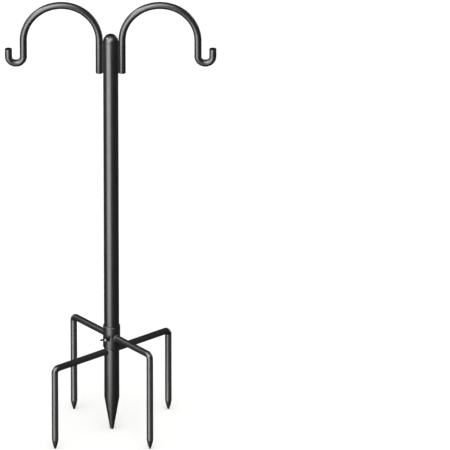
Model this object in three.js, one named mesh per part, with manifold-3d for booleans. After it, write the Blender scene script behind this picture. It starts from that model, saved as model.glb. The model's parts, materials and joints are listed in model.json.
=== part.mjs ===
// Double shepherd-hook plant stand on a five-point base.
// Millimetres, +Z up. The origin is on the pole's axis, level with the five points of the base.
// The hooks spread along X. The base carries one fixed pair of prongs and one pair on a turning collar.

import * as THREE from "three";
import { mergeVertices } from "three/addons/utils/BufferGeometryUtils.js";
import Module from "manifold-3d";

const wasm = await Module();
wasm.setup();

// ---------------------------------------------------------------- driving dimensions

// Gap left between two pieces that touch on the real stand.
const SEAT_GAP = 0.3;

// Pole and spike are cut from the same round steel tube.
const TUBE_DIAMETER = 25.4;
const TUBE_WALL = 1.5;
const POLE_LENGTH = 549.2;
const CAP_PLUG_DEPTH = 12;

// Ground spike: a turned point, plugged into the lower end of its tube.
const SPIKE_CONE_LENGTH = 59.6;
const SPIKE_NOSE_RADIUS = 3.4;
const SPIKE_NOSE_FLAT = 2.4;
const SPIKE_PLUG_DEPTH = 15;

// Inner coupling tube with a rolled bead, on which both tube ends sit.
const COUPLING_WALL = 1.5;
const COUPLING_CLEARANCE = 0.25;
const COUPLING_REACH = 50;
const BEAD_HEIGHT = 3;
const BEAD_CHAMFER = 0.4;

// Hooks: one round bar each, bent into an arch and a small J, with a pot hung in each J.
const HANGING_SPAN = 314.8;
const HOOK_ROD_DIAMETER = 12;
const HOOK_LEG_BELOW_TUBE_TOP = 57;
const ARCH_SPRING_ABOVE_TUBE_TOP = 2;
const HOOK_STEM_LENGTH = 29.1;
const J_RADIUS = 12.4;
const J_TIP_LENGTH = 13.5;

// Prongs: round bar, bent down once and drawn to a blunt point.
const PRONG_ROD_DIAMETER = 11.1;
const PRONG_BEND_RADIUS = 7;
const PRONG_POINT_LENGTH = 17;
const PRONG_POINT_FLAT = 2.6;
const POINT_TANG_LENGTH = 1;
const POINT_TANG_STEP = 0.5;
const POINT_SHOULDER_STEP = 0.05;
const LOWER_BAR_HEIGHT = 146.5;
const SPIKE_TUBE_ABOVE_BAR = 11.7;
const LOWER_REACH = 122.5;
const LOWER_AZIMUTH = 39.5;
const UPPER_REACH = 101;
const UPPER_AZIMUTH = 129.5;

// Collar: turns on the joint of the two tubes and carries the upper prongs at half its height.
const COLLAR_CLEARANCE = 0.3;
const COLLAR_WALL = 1.5;
const COLLAR_HEIGHT = 40;
const COLLAR_CHAMFER = 0.8;

// Wing screw, threaded through a boss at half the collar's height.
const SCREW_AZIMUTH = 240;
const SCREW_DIAMETER = 6;
const SCREW_CLEARANCE = 0.3;
const BOSS_DIAMETER = 10;
const BOSS_HEIGHT = 2.2;
const HUB_WALL = 1;
const HUB_LENGTH = 5.2;
const HUB_CHAMFER = 0.6;
const SCREW_BITE = 3.6;
const WING_SPAN = 18.5;
const WING_THICKNESS = 2;
const WING_ROOT_HEIGHT = 3;
const WING_TIP_HEIGHT = 5;
const WING_FLARE = 2.2;
const WING_ROLL = 20;
const BORE_OVERRUN = 1;

// Welds.
const HOOK_WELD_POLE_ANGLE = 29;
const HOOK_WELD_ROD_ANGLE = 64;
const PRONG_WELD_WIDTH = 3;
const PRONG_WELD_LENGTH = 4;
const PRONG_WELD_WAIST_WIDTH = 1.4;
const PRONG_WELD_WAIST_LENGTH = 1.6;
const PRONG_WELD_EDGE = 0.6;

// Facets round each kind of piece.
const TUBE_SIDES = 48;
const ROD_SIDES = 20;
const SCREW_SIDES = 20;
const ARCH_STEPS = 28;
const J_STEPS = 14;
const BEND_STEPS = 8;

// ---------------------------------------------------------------- sizes that follow

const TUBE_RADIUS = TUBE_DIAMETER / 2;
const TUBE_BORE = TUBE_RADIUS - TUBE_WALL;
const PLUG_RADIUS = TUBE_BORE - COUPLING_CLEARANCE;
const HOOK_RADIUS = HOOK_ROD_DIAMETER / 2;
const PRONG_RADIUS = PRONG_ROD_DIAMETER / 2;
const COLLAR_BORE = TUBE_RADIUS + COLLAR_CLEARANCE;
const COLLAR_RADIUS = COLLAR_BORE + COLLAR_WALL;
const SCREW_RADIUS = SCREW_DIAMETER / 2;
const SCREW_HOLE = SCREW_RADIUS + SCREW_CLEARANCE;
const HUB_RADIUS = SCREW_HOLE + HUB_WALL;

const SPIKE_TUBE_BOTTOM = SPIKE_CONE_LENGTH + SEAT_GAP;
const SPIKE_TUBE_TOP = LOWER_BAR_HEIGHT + SPIKE_TUBE_ABOVE_BAR;
const BEAD_BOTTOM = SPIKE_TUBE_TOP + SEAT_GAP;
const POLE_BOTTOM = BEAD_BOTTOM + BEAD_HEIGHT + SEAT_GAP;
const POLE_TOP = POLE_BOTTOM + POLE_LENGTH;
const COLLAR_BOTTOM = LOWER_BAR_HEIGHT + PRONG_RADIUS + SEAT_GAP;
const COLLAR_MIDDLE = COLLAR_BOTTOM + COLLAR_HEIGHT / 2;
const HOOK_LEG_X = TUBE_RADIUS + SEAT_GAP + HOOK_RADIUS;
const ARCH_RADIUS = (HANGING_SPAN / 2 - J_RADIUS - HOOK_LEG_X) / 2;
const HOOK_LEG_BOTTOM = POLE_TOP - HOOK_LEG_BELOW_TUBE_TOP;
const ARCH_SPRING = POLE_TOP + ARCH_SPRING_ABOVE_TUBE_TOP;
const BOSS_TOP = COLLAR_RADIUS + BOSS_HEIGHT;
const HUB_BOTTOM = BOSS_TOP + SEAT_GAP;
const SHANK_TIP = TUBE_RADIUS + SEAT_GAP;
const SHANK_END = HUB_BOTTOM + SCREW_BITE;

// ---------------------------------------------------------------- finishes

const blackCoat = () =>
  new THREE.MeshStandardMaterial({ color: 0x1d1e20, roughness: 0.42, metalness: 0.35 });
const blackWeld = () =>
  new THREE.MeshStandardMaterial({ color: 0x191a1c, roughness: 0.55, metalness: 0.35 });
const blackZinc = () =>
  new THREE.MeshStandardMaterial({ color: 0x26282b, roughness: 0.32, metalness: 0.8 });
const bareSteel = () =>
  new THREE.MeshStandardMaterial({ color: 0x8f9296, roughness: 0.4, metalness: 1 });

// ---------------------------------------------------------------- shape helpers

const radians = THREE.MathUtils.degToRad;
const point = (x, y) => new THREE.Vector2(x, y);

// A closed geometry as a solid that can be cut and joined.
function solidOf(geometry) {
  const bare = geometry.clone();
  bare.deleteAttribute("normal");
  bare.deleteAttribute("uv");
  const merged = mergeVertices(bare, 1e-4);
  return new wasm.Manifold(
    new wasm.Mesh({
      numProp: 3,
      vertProperties: merged.attributes.position.array,
      triVerts: new Uint32Array(merged.index.array),
    }),
  );
}

// The solid's surface as a geometry again.
function geometryOf(solid) {
  const mesh = solid.getMesh();
  const geometry = new THREE.BufferGeometry();
  geometry.setAttribute("position", new THREE.BufferAttribute(mesh.vertProperties, 3));
  geometry.setIndex(new THREE.BufferAttribute(mesh.triVerts, 1));
  geometry.computeVertexNormals();
  return geometry;
}

// A profile of (radius, height) points turned about +Z.
function turned(profile, sides) {
  return new THREE.LatheGeometry(profile, sides).rotateX(Math.PI / 2);
}

// The same, turned about +X, with the heights running outwards along +X.
function turnedAlongX(profile, sides) {
  return turned(profile, sides).rotateY(Math.PI / 2);
}

// A ring between two radii, as a closed profile.
function ring(inner, outer, bottom, top) {
  return [
    point(inner, bottom),
    point(outer, bottom),
    point(outer, top),
    point(inner, top),
    point(inner, bottom),
  ];
}

// A solid cylinder, as a profile that starts and ends on the axis.
function cylinder(radius, bottom, top) {
  return [point(0, bottom), point(radius, bottom), point(radius, top), point(0, top)];
}

// Centre line of a bent bar, in the XZ plane: straight runs and round bends in turn.
// A bend turns the heading about -Y, so a positive angle turns from +Z towards +X.
class BarLine extends THREE.Curve {
  constructor(x, z, heading) {
    super();
    this.stations = [];
    this.at = new THREE.Vector3(x, 0, z);
    this.heading = heading;
    this.mark();
  }

  mark() {
    const along = new THREE.Vector3(Math.sin(this.heading), 0, Math.cos(this.heading));
    this.stations.push({ place: this.at.clone(), along });
  }

  run(length) {
    this.at.x += length * Math.sin(this.heading);
    this.at.z += length * Math.cos(this.heading);
    this.mark();
    return this;
  }

  bend(radius, angle, steps) {
    const side = Math.sign(angle) * radius;
    const centreX = this.at.x + side * Math.cos(this.heading);
    const centreZ = this.at.z - side * Math.sin(this.heading);
    for (let step = 0; step < steps; step++) {
      this.heading += angle / steps;
      this.at.x = centreX - side * Math.cos(this.heading);
      this.at.z = centreZ + side * Math.sin(this.heading);
      this.mark();
    }
    return this;
  }

  get steps() {
    return this.stations.length - 1;
  }

  getPointAt(share) {
    return this.stations[Math.round(share * this.steps)].place.clone();
  }

  getTangentAt(share) {
    return this.stations[Math.round(share * this.steps)].along.clone();
  }
}

// A round bar along such a line.
function barAlong(line, radius) {
  const section = new THREE.Shape().absarc(0, 0, radius, 0, 2 * Math.PI, false);
  return new THREE.ExtrudeGeometry(section, {
    steps: line.steps,
    curveSegments: ROD_SIDES / 2,
    extrudePath: line,
    bevelEnabled: false,
  });
}

function node(name, geometry, material, parent) {
  const mesh = new THREE.Mesh(geometry, material);
  mesh.name = name;
  parent.add(mesh);
  return mesh;
}

// ---------------------------------------------------------------- pole and hooks

function poleTube() {
  return turned(ring(TUBE_BORE, TUBE_RADIUS, POLE_BOTTOM, POLE_TOP), TUBE_SIDES);
}

// Pressed dome that closes the pole: a hemisphere on a short plug.
function domeCap() {
  const seat = POLE_TOP + SEAT_GAP;
  const profile = [
    point(0, POLE_TOP - CAP_PLUG_DEPTH),
    point(PLUG_RADIUS, POLE_TOP - CAP_PLUG_DEPTH),
    point(PLUG_RADIUS, seat),
  ];
  const rows = 10;
  for (let row = 0; row <= rows; row++) {
    const rise = (row / rows) * (Math.PI / 2);
    profile.push(point(TUBE_RADIUS * Math.cos(rise), seat + TUBE_RADIUS * Math.sin(rise)));
  }
  profile[profile.length - 1].x = 0;
  return turned(profile, TUBE_SIDES);
}

// Leg up the pole's side, arch over, stem down, J up to a square-cut tip.
function hookBar() {
  const line = new BarLine(HOOK_LEG_X, HOOK_LEG_BOTTOM, 0)
    .run(ARCH_SPRING - HOOK_LEG_BOTTOM)
    .bend(ARCH_RADIUS, Math.PI, ARCH_STEPS)
    .run(HOOK_STEM_LENGTH)
    .bend(J_RADIUS, -Math.PI, J_STEPS)
    .run(J_TIP_LENGTH);
  return barAlong(line, HOOK_RADIUS);
}

// Weld that fills the groove between a hook's leg and the pole, on the +Y side.
function hookWeld() {
  const poleSide = TUBE_RADIUS + SEAT_GAP;
  const rodSide = HOOK_RADIUS + SEAT_GAP;
  const rootX = (HOOK_LEG_X ** 2 + poleSide ** 2 - rodSide ** 2) / (2 * HOOK_LEG_X);
  const rootY = Math.sqrt(poleSide ** 2 - rootX ** 2);
  const poleStart = Math.atan2(rootY, rootX);
  const rodEnd = Math.atan2(rootY, rootX - HOOK_LEG_X);
  const section = new THREE.Shape();
  section.moveTo(rootX, rootY);
  section.absarc(0, 0, poleSide, poleStart, radians(HOOK_WELD_POLE_ANGLE), false);
  section.absarc(HOOK_LEG_X, 0, rodSide, radians(180 - HOOK_WELD_ROD_ANGLE), rodEnd, false);
  return new THREE.ExtrudeGeometry(section, {
    depth: POLE_TOP - HOOK_LEG_BOTTOM,
    curveSegments: 5,
    bevelEnabled: false,
  }).translate(0, 0, HOOK_LEG_BOTTOM);
}

function poleAndHooks() {
  const group = new THREE.Group();
  node("main_pole", poleTube(), blackCoat(), group);
  node("dome_cap", domeCap(), blackCoat(), group);
  for (const [side, turn] of [
    ["right", 0],
    ["left", Math.PI],
  ]) {
    const half = new THREE.Group();
    half.rotation.z = turn;
    group.add(half);
    node(side + "_hook", hookBar(), blackCoat(), half);
    const [near, far] = turn === 0 ? ["rear", "front"] : ["front", "rear"];
    node(side + "_hook_weld_" + near, hookWeld(), blackWeld(), half);
    const mirrored = node(side + "_hook_weld_" + far, hookWeld(), blackWeld(), half);
    mirrored.scale.y = -1;
  }
  return group;
}

// ---------------------------------------------------------------- spike and coupling

// Turned point: blunt nose, straight cone, shoulder under the tube and plug inside it.
function spikePoint() {
  const flat = SPIKE_NOSE_FLAT / 2;
  const noseHeight = Math.sqrt(SPIKE_NOSE_RADIUS ** 2 - flat ** 2);
  const toShoulder = Math.hypot(TUBE_RADIUS, SPIKE_CONE_LENGTH - noseHeight);
  const slope =
    Math.atan2(TUBE_RADIUS, SPIKE_CONE_LENGTH - noseHeight) -
    Math.asin(SPIKE_NOSE_RADIUS / toShoulder);
  const start = -Math.acos(flat / SPIKE_NOSE_RADIUS);
  const profile = [point(0, 0)];
  const rows = 6;
  for (let row = 0; row <= rows; row++) {
    const angle = start + (row / rows) * (-slope - start);
    profile.push(
      point(
        SPIKE_NOSE_RADIUS * Math.cos(angle),
        noseHeight + SPIKE_NOSE_RADIUS * Math.sin(angle),
      ),
    );
  }
  profile[1].y = 0;
  profile.push(
    point(TUBE_RADIUS, SPIKE_CONE_LENGTH),
    point(PLUG_RADIUS, SPIKE_CONE_LENGTH),
    point(PLUG_RADIUS, SPIKE_CONE_LENGTH + SPIKE_PLUG_DEPTH),
    point(0, SPIKE_CONE_LENGTH + SPIKE_PLUG_DEPTH),
  );
  return turned(profile, TUBE_SIDES);
}

function spikeTube() {
  return turned(ring(TUBE_BORE, TUBE_RADIUS, SPIKE_TUBE_BOTTOM, SPIKE_TUBE_TOP), TUBE_SIDES);
}

// Coupling tube: half in the spike tube, half in the pole, with the bead between their ends.
function couplingTube() {
  const inner = PLUG_RADIUS - COUPLING_WALL;
  const beadTop = BEAD_BOTTOM + BEAD_HEIGHT;
  const bottom = BEAD_BOTTOM - COUPLING_REACH;
  const top = beadTop + COUPLING_REACH;
  return turned(
    [
      point(inner, bottom),
      point(PLUG_RADIUS, bottom),
      point(PLUG_RADIUS, BEAD_BOTTOM),
      point(TUBE_RADIUS - BEAD_CHAMFER, BEAD_BOTTOM),
      point(TUBE_RADIUS, BEAD_BOTTOM + BEAD_CHAMFER),
      point(TUBE_RADIUS, beadTop - BEAD_CHAMFER),
      point(TUBE_RADIUS - BEAD_CHAMFER, beadTop),
      point(PLUG_RADIUS, beadTop),
      point(PLUG_RADIUS, top),
      point(inner, top),
      point(inner, bottom),
    ],
    TUBE_SIDES,
  );
}

// ---------------------------------------------------------------- prongs

// What a prong or its weld is cut back from, so that it meets a round wall.
function wallSolid(wallRadius, height) {
  const reach = PRONG_RADIUS + 2 * PRONG_WELD_WIDTH;
  return solidOf(
    turned(cylinder(wallRadius + SEAT_GAP, height - reach, height + reach), TUBE_SIDES),
  );
}

// Prong along +X: out from the wall, bent straight down, ending in a blunt point at ground level.
function prong(wallRadius, height, reach) {
  const start = wallRadius - PRONG_RADIUS;
  const line = new BarLine(start, height, Math.PI / 2)
    .run(reach - PRONG_BEND_RADIUS - start)
    .bend(PRONG_BEND_RADIUS, Math.PI / 2, BEND_STEPS)
    .run(height - PRONG_BEND_RADIUS - PRONG_POINT_LENGTH);
  const shoulder = PRONG_RADIUS - POINT_SHOULDER_STEP;
  const tang = PRONG_RADIUS - POINT_TANG_STEP;
  const tip = turned(
    [
      point(0, 0),
      point(PRONG_POINT_FLAT / 2, 0),
      point(shoulder, PRONG_POINT_LENGTH),
      point(tang, PRONG_POINT_LENGTH),
      point(tang, PRONG_POINT_LENGTH + POINT_TANG_LENGTH),
      point(0, PRONG_POINT_LENGTH + POINT_TANG_LENGTH),
    ],
    ROD_SIDES,
  ).translate(reach, 0, 0);
  const bar = solidOf(barAlong(line, PRONG_RADIUS)).add(solidOf(tip));
  return geometryOf(bar.subtract(wallSolid(wallRadius, height)));
}

// Weld round the root of a prong. It stops at the given height, where something turns above it.
function prongWeld(wallRadius, height, ceiling) {
  const inner = PRONG_RADIUS + SEAT_GAP;
  const outer = inner + PRONG_WELD_WIDTH;
  const start = wallRadius - PRONG_RADIUS;
  const end = wallRadius + PRONG_WELD_LENGTH;
  const bead = turnedAlongX(
    [
      point(inner, start),
      point(outer, start),
      point(outer, wallRadius),
      point(inner + PRONG_WELD_WAIST_WIDTH, wallRadius + PRONG_WELD_WAIST_LENGTH),
      point(inner + PRONG_WELD_EDGE, end),
      point(inner, end),
      point(inner, start),
    ],
    ROD_SIDES,
  ).translate(0, 0, height);
  const room = 4 * outer;
  const above = new THREE.BoxGeometry(2 * (end + outer), room, room).translate(
    0,
    0,
    ceiling + room / 2,
  );
  const seated = solidOf(bead).subtract(wallSolid(wallRadius, height));
  return geometryOf(seated.subtract(solidOf(above)));
}

// Two prongs with their welds, opposite each other.
function prongPair(prefix, { wallRadius, height, reach, azimuth, ceiling }) {
  const group = new THREE.Group();
  ["rear", "front"].forEach((side, index) => {
    const arm = new THREE.Group();
    arm.rotation.z = radians(azimuth) + index * Math.PI;
    group.add(arm);
    node(prefix + "_prong_" + side, prong(wallRadius, height, reach), blackCoat(), arm);
    const weld = prongWeld(wallRadius, height, ceiling);
    node(prefix + "_prong_weld_" + side, weld, blackWeld(), arm);
  });
  return group;
}

// ---------------------------------------------------------------- collar and wing screw

function screwBore() {
  return solidOf(turnedAlongX(cylinder(SCREW_HOLE, 0, 2 * COLLAR_RADIUS), SCREW_SIDES));
}

// Sleeve with both rims chamfered, drilled for the screw.
function collarSleeve() {
  const half = COLLAR_HEIGHT / 2;
  const edge = COLLAR_RADIUS - COLLAR_CHAMFER;
  const sleeve = turned(
    [
      point(COLLAR_BORE, -half),
      point(edge, -half),
      point(COLLAR_RADIUS, COLLAR_CHAMFER - half),
      point(COLLAR_RADIUS, half - COLLAR_CHAMFER),
      point(edge, half),
      point(COLLAR_BORE, half),
      point(COLLAR_BORE, -half),
    ],
    TUBE_SIDES,
  ).rotateZ(radians(-SCREW_AZIMUTH));
  return geometryOf(solidOf(sleeve).subtract(screwBore()));
}

// Threaded boss, welded on the collar round the screw hole.
function screwBoss() {
  const blank = turnedAlongX(
    cylinder(BOSS_DIAMETER / 2, COLLAR_RADIUS / 2, BOSS_TOP),
    SCREW_SIDES,
  );
  const wall = turned(
    cylinder(COLLAR_RADIUS + SEAT_GAP, -BOSS_DIAMETER, BOSS_DIAMETER),
    TUBE_SIDES,
  );
  return geometryOf(solidOf(blank).subtract(solidOf(wall)).subtract(screwBore()));
}

// Screw shank, its tip against the pole and its end held in the wing hub.
function screwShank() {
  return turnedAlongX(cylinder(SCREW_RADIUS, SHANK_TIP, SHANK_END), SCREW_SIDES);
}

// One ear of the wing, drawn outwards and flared away from the collar.
function wingShape() {
  const half = WING_SPAN / 2;
  const root = HUB_BOTTOM + HUB_CHAMFER;
  const tipRadius = WING_TIP_HEIGHT / 2;
  const shape = new THREE.Shape();
  shape.moveTo(root, 0);
  shape.lineTo(root, HUB_RADIUS);
  shape.quadraticCurveTo(root, half - tipRadius, root + WING_FLARE, half - tipRadius / 2);
  shape.quadraticCurveTo(
    root + WING_FLARE + tipRadius,
    half + tipRadius / 2,
    root + WING_FLARE + WING_TIP_HEIGHT,
    half - tipRadius / 2,
  );
  shape.quadraticCurveTo(
    root + WING_FLARE + tipRadius,
    half - WING_TIP_HEIGHT,
    root + WING_ROOT_HEIGHT,
    HUB_RADIUS,
  );
  shape.lineTo(root + WING_ROOT_HEIGHT, 0);
  return shape;
}

// Wing head: a round hub, bored for the shank, with two flat ears.
function wingHead() {
  const end = HUB_BOTTOM + HUB_LENGTH;
  const hub = turnedAlongX(
    [
      point(0, HUB_BOTTOM),
      point(HUB_RADIUS, HUB_BOTTOM),
      point(HUB_RADIUS, end - HUB_CHAMFER),
      point(HUB_RADIUS - HUB_CHAMFER, end),
      point(0, end),
    ],
    SCREW_SIDES,
  );
  const ear = new THREE.ExtrudeGeometry(wingShape(), {
    depth: WING_THICKNESS,
    curveSegments: 6,
    bevelEnabled: false,
  }).translate(0, 0, -WING_THICKNESS / 2);
  const bore = turnedAlongX(
    cylinder(SCREW_HOLE, HUB_BOTTOM - BORE_OVERRUN, SHANK_END + SEAT_GAP),
    SCREW_SIDES,
  );
  const oneEar = solidOf(ear);
  const otherEar = oneEar.rotate([180, 0, 0]);
  return geometryOf(solidOf(hub).add(oneEar).add(otherEar).subtract(solidOf(bore)));
}

function collarGroup() {
  const group = new THREE.Group();
  const screwSide = new THREE.Group();
  screwSide.position.z = COLLAR_MIDDLE;
  screwSide.rotation.z = radians(SCREW_AZIMUTH);
  group.add(screwSide);
  node("collar_sleeve", collarSleeve(), blackCoat(), screwSide);
  node("collar_boss", screwBoss(), blackCoat(), screwSide);
  node("wing_screw_shank", screwShank(), bareSteel(), screwSide);
  const head = node("wing_screw_head", wingHead(), blackZinc(), screwSide);
  head.rotation.x = radians(WING_ROLL);
  group.add(
    prongPair("upper", {
      wallRadius: COLLAR_RADIUS,
      height: COLLAR_MIDDLE,
      reach: UPPER_REACH,
      azimuth: UPPER_AZIMUTH,
      ceiling: COLLAR_MIDDLE + COLLAR_HEIGHT / 2,
    }),
  );
  return group;
}

// ---------------------------------------------------------------- the stand

const stand = new THREE.Group();
stand.add(poleAndHooks());
node("coupling_tube", couplingTube(), bareSteel(), stand);
node("spike_tube", spikeTube(), blackCoat(), stand);
node("spike_point", spikePoint(), blackCoat(), stand);
stand.add(
  prongPair("lower", {
    wallRadius: TUBE_RADIUS,
    height: LOWER_BAR_HEIGHT,
    reach: LOWER_REACH,
    azimuth: LOWER_AZIMUTH,
    ceiling: COLLAR_BOTTOM - SEAT_GAP,
  }),
);
stand.add(collarGroup());

export default stand;
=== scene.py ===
"""Black steel plant stand with two shepherd hooks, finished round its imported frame.

Lengths are metres in the frame's own axes: +Z up the pole, the hooks along X, the front towards -Y.
What the frame shows is read from it. The settings hold what it can't tell, and the colours.
"""

import json
import math

import bmesh
import bpy
from bpy.props import FloatProperty, FloatVectorProperty, IntProperty, PointerProperty
from mathutils import Matrix, Vector


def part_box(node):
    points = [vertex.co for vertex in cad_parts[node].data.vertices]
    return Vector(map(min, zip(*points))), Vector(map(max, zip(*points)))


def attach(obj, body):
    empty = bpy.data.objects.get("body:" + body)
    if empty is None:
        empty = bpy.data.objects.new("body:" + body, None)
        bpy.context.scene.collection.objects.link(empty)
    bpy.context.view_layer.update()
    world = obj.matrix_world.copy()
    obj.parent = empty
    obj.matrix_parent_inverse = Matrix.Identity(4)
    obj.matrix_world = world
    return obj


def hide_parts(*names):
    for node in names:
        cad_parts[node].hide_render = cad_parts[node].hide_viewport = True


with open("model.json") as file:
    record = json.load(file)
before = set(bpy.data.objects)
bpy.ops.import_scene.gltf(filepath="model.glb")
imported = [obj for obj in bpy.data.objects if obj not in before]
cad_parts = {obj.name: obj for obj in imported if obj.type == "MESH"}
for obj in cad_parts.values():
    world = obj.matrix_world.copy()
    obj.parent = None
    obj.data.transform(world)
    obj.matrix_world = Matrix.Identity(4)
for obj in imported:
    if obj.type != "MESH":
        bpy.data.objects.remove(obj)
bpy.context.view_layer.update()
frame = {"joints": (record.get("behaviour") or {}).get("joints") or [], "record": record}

bl_info = {
    "name": "Shepherd hook plant stand",
    "version": (1, 0, 0),
    "blender": (4, 5, 0),
    "location": "View3D > Sidebar > Plant stand",
    "description": "Builds the coated steel surfaces of a double shepherd hook plant stand",
    "category": "Add Mesh",
}

MM = 0.001
TINY = 1e-6

# ---------- what the frame tells

BODY_OF = {
    node: body
    for body, nodes in frame["record"]["behaviour"]["bodies"].items()
    for node in nodes
}
MOUNTS = {mount["name"]: Vector(mount["pos_m"]) for mount in frame["record"]["mounts"]}
JOINTS = {joint["name"]: joint for joint in frame["joints"]}

TUBE_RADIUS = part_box("main_pole")[1].x
POLE_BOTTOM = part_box("main_pole")[0].z
POLE_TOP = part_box("main_pole")[1].z
DOME_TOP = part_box("dome_cap")[1].z
DOME_PLUG_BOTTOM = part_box("dome_cap")[0].z
SPIKE_TUBE_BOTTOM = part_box("spike_tube")[0].z
SPIKE_TUBE_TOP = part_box("spike_tube")[1].z
SPIKE_PLUG_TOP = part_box("spike_point")[1].z
COUPLING_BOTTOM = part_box("coupling_tube")[0].z
COUPLING_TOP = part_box("coupling_tube")[1].z
COLLAR_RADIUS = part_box("collar_sleeve")[1].x
COLLAR_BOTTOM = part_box("collar_sleeve")[0].z
COLLAR_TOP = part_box("collar_sleeve")[1].z
HOOK_ROD_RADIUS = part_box("right_hook")[1].y
HOOK_LEG_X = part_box("right_hook")[0].x + HOOK_ROD_RADIUS
HOOK_LEG_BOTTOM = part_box("right_hook")[0].z
HOOK_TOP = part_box("right_hook")[1].z
HOOK_TIP_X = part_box("right_hook")[1].x - HOOK_ROD_RADIUS
SCREW_AXIS = Vector(JOINTS["screw_travel"]["axis"])
SCREW_HEIGHT = JOINTS["screw_turn"]["pos_m"][2]


# ---------- colours and settings


def hex_colour(text):
    """An sRGB hex value as a linear colour with alpha."""
    shares = [int(text[at : at + 2], 16) / 255 for at in (1, 3, 5)]
    linear = [s / 12.92 if s <= 0.04045 else ((s + 0.055) / 1.055) ** 2.4 for s in shares]
    return (*linear, 1.0)


def length(name, description, millimetres):
    """A length setting, given in millimetres and kept in metres."""
    return FloatProperty(
        name=name,
        description=description,
        default=millimetres * MM,
        min=0.0,
        precision=5,
        subtype="DISTANCE",
        unit="LENGTH",
    )


def angle(name, description, degrees):
    """An angle setting, given in degrees and kept in radians."""
    return FloatProperty(
        name=name,
        description=description,
        default=math.radians(degrees),
        subtype="ANGLE",
        unit="ROTATION",
    )


def colour(name, description, text):
    """A colour setting, given as an sRGB hex value."""
    return FloatVectorProperty(
        name=name,
        description=description,
        default=hex_colour(text),
        size=4,
        min=0.0,
        max=1.0,
        subtype="COLOR",
    )


class PLANTSTAND_PG_tube(bpy.types.PropertyGroup):
    wall: length("Wall", "Wall of the pole's, the spike's and the coupling's tube", 1.5)
    fit: length("Fit", "Clearance of the coupling and the plugs in the tube's bore", 0.25)
    seat: length("Seat", "Gap that the frame leaves between touching pieces", 0.3)
    bead: length("Bead edge", "Rounding of the rolled bead on the coupling", 0.9)
    edge: length("Edge", "Rounding of a deburred and coated tube end", 0.35)


class PLANTSTAND_PG_spike(bpy.types.PropertyGroup):
    nose_radius: length("Nose radius", "Rounding of the ground spike's blunt nose", 3.4)
    nose_flat: length("Nose flat", "Width of the flat that the spike rests on", 2.4)


class PLANTSTAND_PG_hook(bpy.types.PropertyGroup):
    j_radius: length("J radius", "Bend radius of the J that holds a pot, at the bar's middle", 12.4)
    stem: length("Stem", "Straight stretch between the arch and the J", 29.1)
    tip: length("Tip", "Straight stretch at the end of the J", 13.5)
    edge: length("Edge", "Rounding of the bar's cut ends", 0.5)


class PLANTSTAND_PG_prong(bpy.types.PropertyGroup):
    rod: length("Rod", "Diameter of the prongs' round bar", 11.1)
    bend_radius: length("Bend radius", "Bend radius of a prong, at the bar's middle", 7)
    point: length("Point", "Length of the blunt point", 17)
    point_flat: length("Point flat", "Width of the point's flat end", 2.6)
    point_belly: length("Point belly", "How much fuller a drawn point is than a cone", 0.5)


class PLANTSTAND_PG_weld(bpy.types.PropertyGroup):
    hook_pole_angle: angle("Pole side", "Where a hook's weld ends on the pole, from the hook's plane", 22)
    hook_throat: length("Throat", "How far the middle of a hook's weld lies in the groove", 2.2)
    hook_rod_angle: angle("Rod side", "Where a hook's weld ends on its bar, from the hook's plane", 48)
    prong_width: length("Width", "Reach of a prong's weld on the wall, outside the bar", 1.1)
    prong_reach: length("Reach", "Reach of a prong's weld along the bar", 1.5)
    ripple_pitch: length("Ripple pitch", "Distance between two ripples of a weld", 2.4)
    ripple_height: length("Ripple height", "Height of a weld's ripples", 0.28)


class PLANTSTAND_PG_collar(bpy.types.PropertyGroup):
    clearance: length("Clearance", "Clearance of the collar round the tube", 0.3)
    chamfer: length("Chamfer", "Chamfer of the collar's two rims", 0.8)
    boss: length("Boss", "Diameter of the threaded boss", 10)
    boss_height: length("Boss height", "Height of the threaded boss on the collar", 2.2)


class PLANTSTAND_PG_screw(bpy.types.PropertyGroup):
    diameter: length("Diameter", "Outer diameter of the screw's thread", 6)
    pitch: length("Pitch", "Pitch of the screw's thread", 1)
    clearance: length("Clearance", "Clearance of the screw in its hole", 0.3)
    hub_wall: length("Hub wall", "Wall of the wing hub round the screw", 1)
    hub_length: length("Hub length", "Length of the wing hub", 5.2)
    stud: length("Stud", "Diameter of the stud's staked end in the hub", 4.4)
    stud_height: length("Stud height", "How far the staked end stands out of the hub", 0.5)
    bite: length("Bite", "How far the screw reaches into the wing hub", 3.6)
    wing_span: length("Wing span", "Width over both wings", 18.5)
    wing_thickness: length("Wing thickness", "Thickness of a wing", 2)
    wing_root: length("Wing root", "Height of a wing where it leaves the hub", 3)
    wing_tip: length("Wing tip", "Height of a wing at its tip", 5)
    wing_flare: length("Wing flare", "How far a wing leans away from the collar", 2.2)
    roll: angle("Roll", "Turn of the wings from level when the screw is tight", 12)


class PLANTSTAND_PG_finish(bpy.types.PropertyGroup):
    coat: colour("Coat", "Black of the powder coat", "#151516")
    coat_thin: colour("Thin coat", "Grey of the coat where it draws back from an edge", "#343537")
    zinc_black: colour("Black zinc", "Black zinc plating of the wing head", "#232324")
    zinc: colour("Zinc", "Bright zinc plating of the hidden steel", "#b9bcc0")
    # The stud's lighter zinc is a painted highlight on the wing hub's end.
    stud: colour("Stud", "Dulled zinc of the stud's end in the wing head", "#6a6c6f")
    coat_roughness: FloatProperty(
        name="Coat roughness",
        description="Roughness of the semi-gloss coat",
        default=0.36,
        min=0.0,
        max=1.0,
        subtype="FACTOR",
    )


class PLANTSTAND_PG_stage(bpy.types.PropertyGroup):
    floor: colour("Floor", "Pale studio floor", "#f4f4f3")
    surround: colour("Surround", "Dark studio that the coat reflects", "#202022")
    camera_lens: FloatProperty(
        name="Lens",
        description="Focal length of the camera, in millimetres",
        default=1200.0,
        subtype="DISTANCE_CAMERA",
        unit="CAMERA",
    )
    camera_distance: length("Distance", "Distance from the camera to its aim", 25044)
    camera_elevation: angle("Elevation", "How steeply the camera looks down", 24.5)
    aim_right: length("Aim right", "How far right of the pole the camera aims", 189.9)
    aim_height: length("Aim height", "How high above the floor the camera aims", 375.9)


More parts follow.
